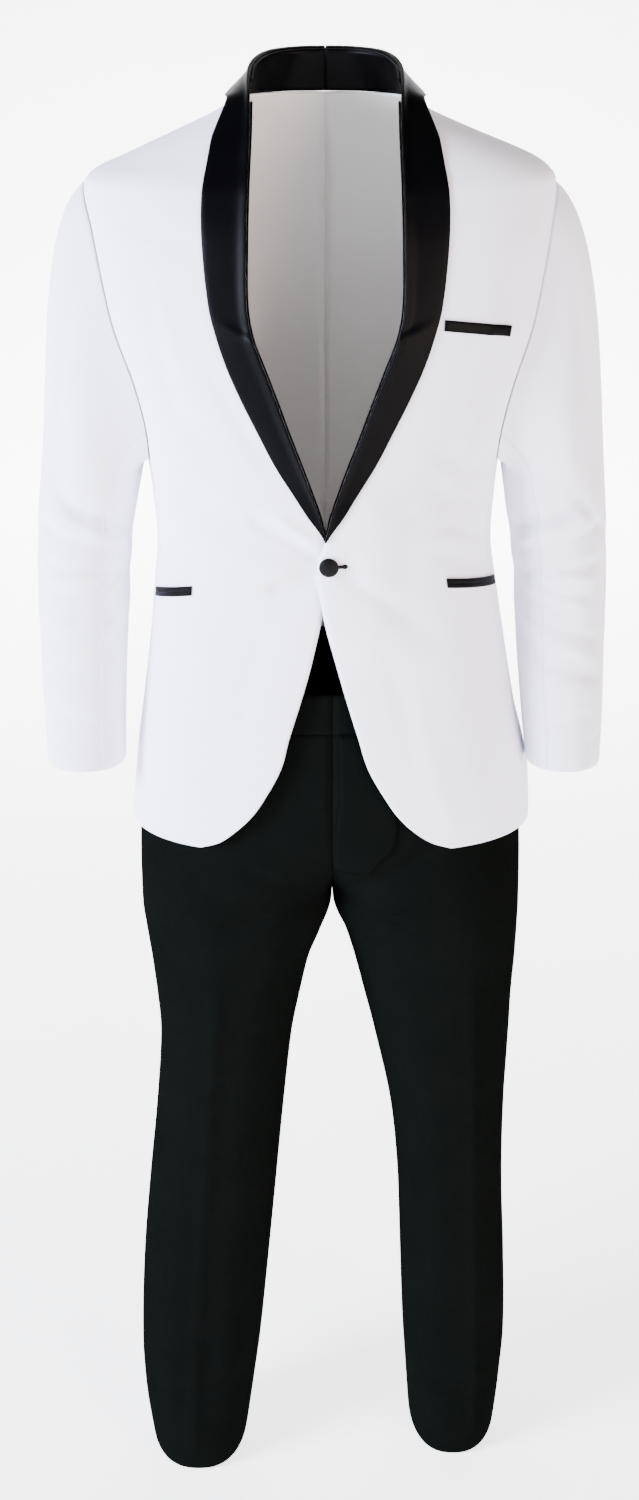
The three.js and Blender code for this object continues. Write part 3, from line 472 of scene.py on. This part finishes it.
def tube(name, path, radius, sides, material, node=None, closed=False):
    """A thread: a ring of sides points carried along a path, square to it, with shut ends."""
    path = np.asarray(path, float)
    along = np.roll(path, -1, 0) - np.roll(path, 1, 0) if closed else np.gradient(path, axis=0)
    along /= np.linalg.norm(along, axis=1, keepdims=True)
    side = np.cross(along, [0.0, 1.0, 0.0])
    side /= np.maximum(np.linalg.norm(side, axis=1, keepdims=True), 1e-9)
    up = np.cross(side, along)
    turn = np.linspace(0, 2 * np.pi, sides, endpoint=False)[None, :, None]
    ring = path[:, None] + radius * (np.cos(turn) * side[:, None] + np.sin(turn) * up[:, None])
    count = len(path)
    number = np.arange(count * sides).reshape(count, sides)
    nexts = np.roll(number, -1, 0) if closed else number[1:]
    first = number if closed else number[:-1]
    quads = np.stack([first, np.roll(first, -1, 1), np.roll(nexts, -1, 1), nexts], -1).reshape(-1, 4)
    points = ring.reshape(-1, 3)
    if not closed:
        points = np.concatenate([points, path[:1], path[-1:]])
        ends = [(number[0], count * sides, 1), (number[-1], count * sides + 1, -1)]
        caps = [np.stack([np.roll(r, -d), r, np.full(sides, c), np.full(sides, c)], 1) for r, c, d in ends]
        triangles = [tuple(q[:3]) for q in np.concatenate(caps)]
    else:
        triangles = []
    mesh = bpy.data.meshes.new(name)
    place = (points - np.array([0, 0, NECK_HEIGHT])) * MM
    mesh.from_pydata(place.tolist(), [], quads.tolist() + [list(map(int, t)) for t in triangles])
    mesh.polygons.foreach_set("use_smooth", np.ones(len(mesh.polygons), bool))
    mesh.materials.append(material)
    mesh.update()
    obj = bpy.data.objects.new(name, mesh)
    bpy.context.collection.objects.link(obj)
    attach(obj, "root")
    if node:
        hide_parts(node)
    return obj


def dome(name, centre, normal, profile, segments, material, node=None):
    """A turned piece: each row of the profile is a radius and a height along the normal, carried round it.
    The first and last rows are single points on the axis."""
    z = Vector(normal).normalized()
    x = z.orthogonal().normalized()
    y = z.cross(x)
    basis = np.array([x, y, z])
    r, up = np.array(profile, float)[1:-1].T
    turn = np.linspace(0, 2 * np.pi, segments, endpoint=False)
    rings = np.stack([r[:, None] * np.cos(turn), r[:, None] * np.sin(turn), up[:, None] + 0 * turn], -1)
    local = np.concatenate([rings.reshape(-1, 3), [[0, 0, profile[0][1]], [0, 0, profile[-1][1]]]])
    number = np.arange(len(r) * segments).reshape(len(r), segments)
    corners = [number[:-1], np.roll(number[:-1], -1, 1), np.roll(number[1:], -1, 1), number[1:]]
    faces = [list(map(int, q)) for q in np.stack(corners, -1).reshape(-1, 4)]
    low, high = len(r) * segments, len(r) * segments + 1
    for k in range(segments):
        after = (k + 1) % segments
        faces.append([low, int(number[0, after]), int(number[0, k])])
        faces.append([high, int(number[-1, k]), int(number[-1, after])])
    mesh = bpy.data.meshes.new(name)
    place = (local @ basis + np.asarray(centre) - np.array([0, 0, NECK_HEIGHT])) * MM
    mesh.from_pydata(place.tolist(), [], faces)
    mesh.polygons.foreach_set("use_smooth", np.ones(len(mesh.polygons), bool))
    mesh.materials.append(material)
    mesh.update()
    obj = bpy.data.objects.new(name, mesh)
    bpy.context.collection.objects.link(obj)
    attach(obj, "root")
    if node:
        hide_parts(node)
    return obj


# Materials

def add(tree, kind, links=(), **settings):
    """Adds a node with its settings and sockets. A key that names a socket sets it; links are
    (socket, node, output) for what feeds it."""
    n = tree.nodes.new(kind)
    for key, value in settings.items():
        socket = key.replace("_", " ")
        found = [s for s in n.inputs if s.name.lower() == socket.lower()]
        if found and not hasattr(n, key):
            found[0].default_value = value
        else:
            setattr(n, key, value)
    for socket, source, output in links:
        tree.links.new(source.outputs[output], n.inputs[socket])
    return n


def cloth(name, base, shade, thread_mm, relief_mm, roughness, specular, slant=45.0,
          mottle_mm=60.0, anisotropic=0.0):
    """A woven cloth: its colour drifts a little towards its shade over mottle_mm, and its weave is a twill
    of diagonal lines thread_mm apart, broken by crossing threads, in relief."""
    material = bpy.data.materials.new(name)
    material.use_nodes = True
    tree = material.node_tree
    tree.nodes.clear()
    uv = add(tree, "ShaderNodeUVMap", uv_map="cloth")
    place = add(tree, "ShaderNodeTexCoord")
    turned = add(tree, "ShaderNodeMapping", [("Vector", uv, "UV")])
    turned.inputs["Rotation"].default_value = (0, 0, math.radians(slant))
    period = 2 * math.pi / 20
    twill = add(tree, "ShaderNodeTexWave", [("Vector", turned, "Vector")], wave_type="BANDS",
                bands_direction="X", Scale=period / (thread_mm * MM), Distortion=0.6, Detail=1.0)
    cross = add(tree, "ShaderNodeTexWave", [("Vector", uv, "UV")], wave_type="BANDS",
                bands_direction="Y", Scale=period / (thread_mm * 0.8 * MM), Distortion=0.4, Detail=1.0)
    weave = add(tree, "ShaderNodeMath", [(0, twill, "Fac"), (1, cross, "Fac")], operation="ADD")
    fibre = add(tree, "ShaderNodeTexNoise", [("Vector", place, "Object")],
                Scale=1 / (0.9 * MM), Detail=3.0, Roughness=0.6)
    height = add(tree, "ShaderNodeMath", [(0, fibre, "Fac"), (2, weave, "Value")], operation="MULTIPLY_ADD")
    height.inputs[1].default_value = 0.7
    bump = add(tree, "ShaderNodeBump", [("Height", height, "Value")], Strength=0.5, Distance=relief_mm * MM)
    drift = add(tree, "ShaderNodeTexNoise", [("Vector", place, "Object")],
                Scale=1 / (mottle_mm * MM), Detail=3.0, Roughness=0.55)
    mixed = add(tree, "ShaderNodeMix", [("Factor", drift, "Fac")], data_type="RGBA")
    mixed.inputs["A"].default_value = colour(base)
    mixed.inputs["B"].default_value = colour(shade)
    rough = add(tree, "ShaderNodeMapRange", [("Value", fibre, "Fac")], From_Min=0.3, From_Max=0.7,
                To_Min=roughness - 0.05, To_Max=roughness + 0.05)
    shader = add(tree, "ShaderNodeBsdfPrincipled",
                 [("Normal", bump, "Normal"), ("Roughness", rough, "Result")])
    tree.links.new(mixed.outputs["Result"], shader.inputs["Base Color"])
    shader.inputs["IOR"].default_value = 1.5
    shader.inputs["Specular IOR Level"].default_value = specular
    shader.inputs["Anisotropic"].default_value = anisotropic
    out = add(tree, "ShaderNodeOutputMaterial")
    tree.links.new(shader.outputs["BSDF"], out.inputs["Surface"])
    return material


# Worsted: a fine, clear-cut wool twill, matt. Real threads are 0.4 mm apart; here they
# are drawn at 1.1 mm so that the weave shows.
white_worsted = cloth("white worsted twill", "#eff1fb", "#e9ebf8", 1.1, 0.14, 0.85, 0.12)
black_worsted = cloth("black worsted twill", "#060807", "#090b0a", 1.1, 0.16, 0.8, 0.0)
# Satin: long floating threads give a smooth face with a broad soft gloss.
black_satin = cloth("black duchesse satin", "#020203", "#040405", 0.6, 0.03, 0.38, 0.036, slant=0.0,
                    mottle_mm=30.0, anisotropic=0.4)
# The button's cover is a tighter, duller satin pulled over a form.
button_cover = cloth("black grosgrain button cover", "#020202", "#040404", 0.8, 0.10, 0.5, 0.08, slant=0.0)
# Linings: smooth viscose twill behind the jacket, plain cotton behind the trousers and on the edge
# that turns in behind the collar's roll.
ivory_lining = cloth("ivory viscose lining", "#e9e7e3", "#dedcd8", 0.7, 0.04, 0.42, 0.4)
black_lining = cloth("black cotton lining", "#030303", "#050505", 0.8, 0.05, 0.85, 0.03)
# Silk buttonhole twist: a round glossy thread.
black_twist = cloth("black silk twist", "#020202", "#050505", 0.5, 0.05, 0.45, 0.12)


# The jacket

LOW_ROWS = np.concatenate([np.linspace(HEM_HEIGHT, 842, 32), np.linspace(845, ARMPIT_HEIGHT, 110)])
ROWS = np.concatenate([LOW_ROWS, np.linspace(1171, SHOULDER_HEIGHT, 86), np.linspace(1427, NECK_TOP, 36)])


def make_jacket_body():
    """Fronts from the cut edge or roll line to the side seam and armhole, side panels, and backs."""
    panel("front_left", body_point, ROWS,
          lambda h: (body_angle(front_line(h, "over"), h), outer_edge(h, "front")), 72,
          white_worsted, ivory_lining, "jacket_front_left", lift=lap_lift)
    panel("front_right", body_point, ROWS,
          lambda h: (-outer_edge(h, "front"), body_angle(-front_line(h, "under"), h)), 72,
          white_worsted, ivory_lining, "jacket_front_right")
    for name, side in (("left", 1), ("right", -1)):
        seams = sorted((side * SIDE_SEAM_FRONT, side * SIDE_SEAM_BACK))
        panel(f"side_{name}", body_point, LOW_ROWS, lambda h: seams, 24,
              white_worsted, ivory_lining, f"jacket_side_{name}")
    panel("back_left", body_point, ROWS, lambda h: (outer_edge(h, "back"), 180), 60,
          white_worsted, ivory_lining, "jacket_back_left")
    panel("back_right", body_point, ROWS, lambda h: (180, 360 - outer_edge(h, "back")), 60,
          white_worsted, ivory_lining, "jacket_back_right")


def make_sleeves():
    """Each sleeve is a top and an under panel between the front and back seams."""
    levels = np.concatenate([np.linspace(852, SLEEVE_TOP_HEIGHT, 100), np.linspace(1153, SLEEVE_FULL, 44)])
    for name, side in (("left", 1), ("right", -1)):
        surface = sleeve_surface(side)
        for part, start, end, cols in (
            ("top", SLEEVE_BACK_SEAM - 360, SLEEVE_FRONT_SEAM, 80),
            ("under", SLEEVE_FRONT_SEAM, SLEEVE_BACK_SEAM, 44),
        ):
            low, high = (-end, -start) if side > 0 else (start, end)
            panel(f"sleeve_{part}_{name}_cloth", surface, levels, lambda h: (low, high), cols,
                  white_worsted, ivory_lining, f"sleeve_{part}_{name}")


def through(points, count):
    """Rows of a grid resampled evenly along a smooth cubic through them."""
    steps = np.linalg.norm(np.diff(points.mean(1), axis=0), axis=-1)
    s = np.concatenate([[0], np.cumsum(steps)])
    even = np.linspace(0, s[-1], count)
    flat = points.reshape(len(points), -1)
    done = [column({"height": s, "v": flat[:, k]}, "v", even) for k in range(flat.shape[1])]
    return np.stack(done, -1).reshape(count, *points.shape[1:])


def on_body(x, height, out):
    """A place on the jacket from its distance from the middle and its height, moved out along the
    normal."""
    angle = body_angle(x, height)
    normal = normals(body_point, angle, height, *NORMAL_STEPS)
    return body_point(angle, height) + normal * np.asarray(out)[..., None]


# The shawl stands off the front below a kink; the satin of its roll line turns in between two heights.
STAND_OFF, KINK_HEIGHT = 3.6, 1306
ROLL_FACING = dict(low=1111, high=1499.4, thick=0.7)


def make_shawl():
    """Each half of the shawl rises from the break to the shoulder on the front, then turns round the neck
    to the middle of the back. Its fold is a soft roll, thicker than its outer edge."""
    cols = 26
    t = np.linspace(0, 1, cols)
    front = np.concatenate([np.linspace(1109.5, 1300, 32), np.linspace(1308, 1470, 22)])[:, None]
    turn = COLLAR_TURN
    for name, side in (("left", 1), ("right", -1)):
        roll, outer = column(SHAWL_LINE, "roll", front), column(SHAWL_LINE, "outer", front)
        x = side * (roll + (outer - roll) * t)
        height = np.broadcast_to(front, x.shape)
        lift = lap_lift(body_angle(x, height), height) if side > 0 else 0
        low = on_body(x, height, LAY_GAP + lift + 0 * x)
        fold = np.stack([side * turn["fold_x"], turn["fold_y"], turn["fold_z"]], -1)[:, None]
        edge = np.stack([side * turn["out_x"], turn["out_y"], turn["out_z"]], -1)[:, None]
        grid = through(np.concatenate([low, fold + (edge - fold) * t[:, None]]), 190)
        rolled = 2.6 * np.exp(-((t / 0.16) ** 2)) - 0.5 * np.exp(-(((1 - t) / 0.05) ** 2))
        level = grid[..., 2]
        start = smooth((level - 1112) / 60)
        below = smooth((KINK_HEIGHT + 16 * t - level) / 11)
        stand_off = STAND_OFF * (1 - t) * below * smooth((level - 1125) / 70)
        rolled = (rolled * start + stand_off)[..., None]
        if side < 0:
            grid, rolled = grid[:, ::-1], rolled[:, ::-1]
        strip(f"shawl_{name}_satin", grid, SATIN, black_satin, black_satin, f"shawl_{name}",
              profile=rolled)
        around = np.array([(9, -3.0), (5, -3.1), (1.5, -3.1), (-0.5, -2.6), (-1.1, -1.5), (-1.1, -0.2),
                           (-0.5, 0.7)])
        rise = np.linspace(ROLL_FACING["low"], ROLL_FACING["high"], 111)[:, None]
        inward, out = around[::-side, 0][::-1], around[::-side, 1][::-1]
        x = side * (column(SHAWL_LINE, "roll", rise) + inward)
        lift = lap_lift(body_angle(x, rise), rise) if side > 0 else 0
        strip(f"roll_facing_{name}", on_body(x, rise + 0 * x, out + lift), ROLL_FACING["thick"],
              black_lining, black_lining, None)
        body = np.arange(1, len(turn["turn"]))
        scale = 1 - 0.6 / np.hypot(turn["fold_x"], turn["fold_y"])
        top = np.stack([side * turn["fold_x"] * scale, turn["fold_y"] * scale, turn["fold_z"] - 0.5], -1)
        top = top[body]
        foot = body_point(side * turn["turn"][body], np.full(len(body), NECK_TOP + 0.6))
        up = np.linspace(0, 1, 10) if side > 0 else np.linspace(1, 0, 10)
        stand = through(foot[:, None] + (top - foot)[:, None] * up[:, None], 70)
        strip(f"collar_stand_{name}_satin", stand, SATIN, black_satin, black_satin,
              f"collar_stand_{name}")


# The facings' heights, how far in from the front edge they start and end, and how far behind they lie.
FACING = dict(low=850, high=1110, near=1, far=15, behind=CLOTH + 1.7, thick=1.0)


def make_facings():
    """Satin turned in behind both front edges, below the break."""
    heights = np.linspace(FACING["low"], FACING["high"], 90)
    near, far, behind = FACING["near"], FACING["far"], FACING["behind"]
    panel("facing_left_satin", body_point, heights,
          lambda h: (body_angle(front_line(h, "over") + near, h), body_angle(front_line(h, "over") + far, h)),
          10, black_satin, black_satin, "facing_left", thick=FACING["thick"], drop=0.1,
          lift=lambda a, h: lap_lift(a, h) - behind)
    panel("facing_right_satin", body_point, heights,
          lambda h: (body_angle(-front_line(h, "under") - far, h),
                     body_angle(-front_line(h, "under") - near, h)),
          10, black_satin, black_satin, "facing_right", thick=FACING["thick"], drop=0.1,
          lift=lambda a, h: np.full(np.shape(a), -behind))


def make_pockets():
    """The breast welt is one strip with rounded edges; each hip pocket is a strip of two lips that meet
    in a narrow groove."""
    welt_start, welt_end = 1303.8, 1293.4
    # Each one's name, its angles and heights at both ends, how tall it is, and whether it has two lips.
    specs = (
        ("breast_welt", float(body_angle(108.7, welt_start)), float(body_angle(171.7, welt_end)),
         welt_start, welt_end, 10.2, False),
        ("hip_jet_right", -75.0, -45.6, 1027.0, 1043.8, 9.8, True),
        ("hip_jet_left", 40.1, 77.0, 1054.0, 1038.4, 9.6, True),
    )
    for node, start, end, height_start, height_end, tall, lips in specs:
        v = np.linspace(0, 1, 17)[:, None]
        u = np.linspace(0, 1, 90)[None, :]
        angle = start + (end - start) * u + 0 * v
        height = height_start + (height_end - height_start) * u + tall * v
        grid = body_point(angle, height) + normals(body_point, angle, height, *NORMAL_STEPS) * LAY_GAP
        across = 0.55 + 0.45 * np.abs(np.sin(2 * np.pi * v)) ** 0.5 if lips else np.sin(np.pi * v) ** 0.4
        ends = np.minimum(1, np.minimum(u, 1 - u) / 0.03) ** 0.5
        profile = (across * ends * (1.3 if lips else 1.1) - 0.9)[..., None]
        strip(f"{node}_satin", grid, SATIN, black_satin, black_satin, node, profile=profile)


def make_button():
    """A covered button: a low dome with a rolled rim, over a keyhole worked in twist."""
    x, h = BUTTON["x"], BUTTON["height"]
    angle = body_angle(x, np.array(h))
    normal = normals(body_point, angle, np.array(h), *NORMAL_STEPS)
    centre = body_point(angle, np.array(h)) + normal * (LAP["lift"] + 0.3)
    r, top = BUTTON["radius"], BUTTON["dome"]
    swell = [(r * math.cos(a), 2.2 + (top - 2.2) * math.sin(a)) for a in np.linspace(0.15, 1.5, 12)]
    profile = [(0, 0.2), (r * 0.7, 0.2), (r * 0.93, 0.7), (r, 1.5), (r, 2.2)] + swell + [(0, top)]
    dome("front_button_covered", centre, normal, profile, 48, button_cover, "front_button")
    turn = np.linspace(0, 2 * np.pi, 60, endpoint=False)
    loop_x = BUTTON["x"] + 9.5 + 6.6 * np.cos(turn)
    loop_h = h + (0.7 + 1.3 * smooth((loop_x - BUTTON["x"] - 11.5) / 3)) * np.sin(turn)
    worked = 0.75 + 0.12 * np.sin(turn * 40)
    path = on_body(loop_x, loop_h, LAP["lift"] + worked)
    tube("buttonhole_twist", path, 1.15, 8, black_twist, closed=True)


# The trousers

FLY_SIDES, FLY_HEIGHTS = (-99, -84), (752, 904)


def make_trousers():
    """Each leg is a front and a back panel between its seams, with a waistband, and the fly's cover."""
    rows = np.concatenate([np.linspace(10, 150, 46), np.linspace(154, 640, 96), np.linspace(644, 905.7, 62)])
    for name, side in (("left", 1), ("right", -1)):
        for part, face in (("front", 1), ("back", -1)):
            edges = (-100, 0) if side * face > 0 else (0, 100)
            panel(f"{part}_{name}_leg", trouser_surface(side, face), rows, lambda h: edges, 58,
                  black_worsted, black_lining, f"trouser_{part}_{name}",
                  shut=0 if side * face > 0 else -1)
        front, back = trouser_surface(side, 1), trouser_surface(side, -1)

        def around(sweep, height):
            across = side * sweep
            at_front, at_back = front(side * across, height), back(side * across, height)
            return np.where((across < 0)[..., None], at_front, at_back)

        panel(f"waistband_{name}_cloth", around, np.linspace(WAISTBAND_LOW, WAISTBAND_HIGH, 12),
              lambda h: (-100, 100), 150, black_worsted, black_lining, f"waistband_{name}")
    panel("fly_cover", trouser_surface(1, 1), np.linspace(*FLY_HEIGHTS, 50), lambda h: FLY_SIDES, 14,
          black_worsted, black_worsted, "fly", out=LAY_GAP + 0.3, thick=1.2, drop=0.4)


make_jacket_body()
make_sleeves()
make_shawl()
make_facings()
make_pockets()
make_button()
make_trousers()


# Floor, lights and camera

def make_floor():
    """A pale floor that sweeps up behind: flat, then a quarter turn, then a wall."""
    level = -NECK_HEIGHT * MM - 0.027
    turn = np.linspace(0, np.pi / 2, 24)
    depth = np.concatenate([[-6.0], 4.0 + 2.0 * np.sin(turn), [6.0]])
    rise = np.concatenate([[0.0], 2.0 * (1 - np.cos(turn)), [7.0]])
    across = np.array([-9.0, 9.0])
    points = np.stack([np.tile(across, len(depth)), np.repeat(depth, 2), np.repeat(rise + level, 2)], 1)
    mesh = bpy.data.meshes.new("floor")
    mesh.from_pydata(points.tolist(), [], grid_faces(len(depth), 2, 0, False).tolist())
    mesh.polygons.foreach_set("use_smooth", np.ones(len(mesh.polygons), bool))
    paper = bpy.data.materials.new("white paper")
    paper.use_nodes = True
    shader = paper.node_tree.nodes["Principled BSDF"]
    shader.inputs["Base Color"].default_value = colour("#fafafa")
    shader.inputs["Roughness"].default_value = 0.9
    shader.inputs["Emission Color"].default_value = colour("#ffffff")
    shader.inputs["Emission Strength"].default_value = 2.4
    mesh.materials.append(paper)
    obj = bpy.data.objects.new("floor", mesh)
    bpy.context.collection.objects.link(obj)


def make_light(name, place, target, size, watts, tint, spread=180):
    light = bpy.data.lights.new(name, "AREA")
    light.shape = "SQUARE"
    light.size = size
    light.energy = watts
    light.spread = math.radians(spread)
    light.color = colour(tint)[:3]
    obj = bpy.data.objects.new(name, light)
    obj.location = place
    obj.rotation_euler = (Vector(target) - Vector(place)).to_track_quat("-Z", "Y").to_euler()
    bpy.context.collection.objects.link(obj)


def make_camera():
    """The photograph's camera: 2.02 m in front, 1.684 m above the hems, 22.6 degrees down. Its focal
    length is 2083 pixels of a frame 1500 high."""
    camera = bpy.data.cameras.new("camera")
    camera.sensor_fit = "VERTICAL"
    camera.sensor_height = 24.0
    camera.lens = 24.0 * 2083 / 1500
    obj = bpy.data.objects.new("camera", camera)
    obj.location = (-0.0055, -2.02, (1684 - NECK_HEIGHT) * MM)
    obj.rotation_euler = (math.radians(90 - 22.6), 0, 0)
    bpy.context.collection.objects.link(obj)
    bpy.context.scene.camera = obj


def make_world():
    """A soft room, pale at eye level and below, and dim overhead."""
    world = bpy.data.worlds.new("soft room")
    world.use_nodes = True
    tree = world.node_tree
    tree.nodes.clear()
    place = add(tree, "ShaderNodeTexCoord")
    parts = add(tree, "ShaderNodeSeparateXYZ", [("Vector", place, "Generated")])
    level = add(tree, "ShaderNodeMapRange", [("Value", parts, "Z")], From_Min=-0.1, From_Max=0.5,
                To_Min=0.55, To_Max=0.15)
    air = add(tree, "ShaderNodeBackground", [("Strength", level, "Result")])
    air.inputs["Color"].default_value = colour("#fbfbfd")
    out = add(tree, "ShaderNodeOutputWorld")
    tree.links.new(air.outputs["Background"], out.inputs["Surface"])
    bpy.context.scene.world = world


make_floor()
make_light("key", (-3.3, -1.7, 0.5), (0, 0, -0.4), 1.6, 700, "#e2eaff")
make_light("fill", (2.4, -2.8, 0.0), (0, 0, -0.45), 2.0, 200, "#ffe4da")
make_light("backdrop", (0, 4.6, 2.6), (0, 4.6, -1.5), 4.5, 500, "#ffffff", spread=80)
make_world()
make_camera()
